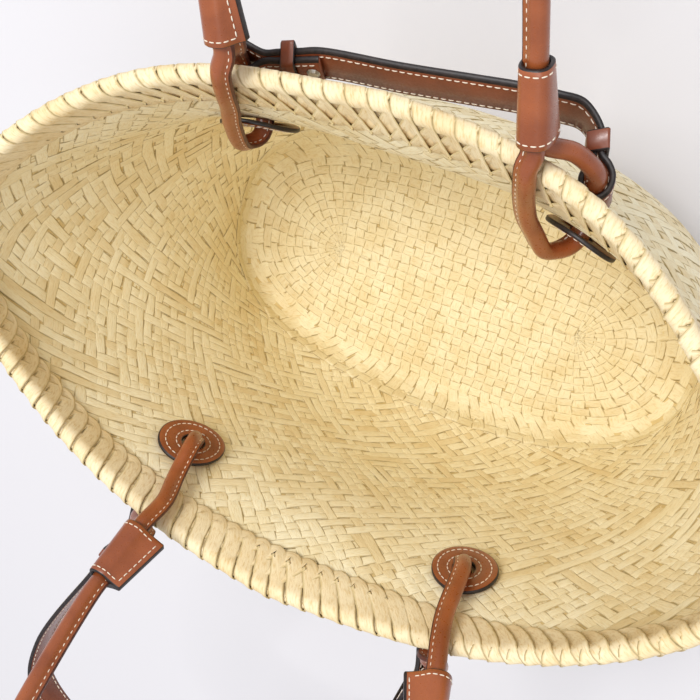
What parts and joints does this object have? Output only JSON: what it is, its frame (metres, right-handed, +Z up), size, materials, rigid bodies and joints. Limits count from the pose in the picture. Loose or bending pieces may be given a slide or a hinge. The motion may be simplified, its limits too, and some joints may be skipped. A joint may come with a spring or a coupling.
{
  "type": "straw tote bag",
  "caption": "Soft woven straw tote bag with a flared open mouth, rolled leather carrying handles looped through washered holes, and flat leather straps.",
  "frame": {"origin": "middle of the flat base, on the surface that the bag stands on", "axes": "+Z up out of the mouth; X along the mouth's long way; +Y towards side A, the far wall in the picture"},
  "size_m": [0.4266, 0.6639, 0.4817],
  "materials": {
    "straw": "woven natural straw, dry and matte",
    "braid": "thick plaited straw border, matte",
    "leather": "smooth semi-gloss tan leather with cream stitching and dark painted edges",
    "strap": "smooth tan strap leather with cream stitching and black painted edges",
    "core": "twisted fibre rope",
    "stud": "small round polished stud"
  },
  "bodies": {
    "basket": {"basket_body": "straw", "rim_braid": "braid", "washer_inner_a_left": "leather", "washer_inner_a_right": "leather", "washer_inner_b_left": "leather", "washer_inner_b_right": "leather", "washer_outer_a_left": "leather", "washer_outer_a_right": "leather", "washer_outer_b_left": "leather", "washer_outer_b_right": "leather", "rim_loop_a_left": "leather", "rim_loop_a_right": "leather", "rim_loop_b_left": "leather", "rim_loop_b_right": "leather", "loop_core_a_left": "core", "loop_core_a_right": "core", "loop_core_b_left": "core", "loop_core_b_right": "core", "strap_a": "strap", "keeper_a_left": "strap", "keeper_a_right": "strap", "stud_a": "stud"},
    "handle_a": {"handle_cover_a": "leather", "handle_core_a": "core", "sleeve_a_left": "leather", "sleeve_a_right": "leather"},
    "handle_b": {"handle_cover_b": "leather", "handle_core_b": "core", "sleeve_b_left": "leather", "sleeve_b_right": "leather"},
    "strap_b": {"strap_b": "strap", "keeper_b_left": "strap", "keeper_b_right": "strap", "stud_b": "stud"}
  },
  "joints": [
    {"name": "handle_a_swing", "type": "hinge", "parent": "basket", "child": "handle_a", "pos_m": [0, 0.159, 0.268], "axis": [1, 0, 0], "range_deg": [-58, 90], "deforming": ["rim_loop_a_left", "rim_loop_a_right", "loop_core_a_left", "loop_core_a_right"]},
    {"name": "handle_b_swing", "type": "hinge", "parent": "basket", "child": "handle_b", "pos_m": [0, -0.09, 0.2635], "axis": [-1, 0, 0], "range_deg": [-55, 50], "deforming": ["rim_loop_b_left", "rim_loop_b_right", "loop_core_b_left", "loop_core_b_right"]},
    {"name": "strap_b_swing", "type": "hinge", "parent": "basket", "child": "strap_b", "pos_m": [0, -0.102, 0.222], "axis": [-1, 0, 0], "range_deg": [-70, 8], "deforming": ["rim_loop_b_left", "rim_loop_b_right", "loop_core_b_left", "loop_core_b_right"]}
  ]
}
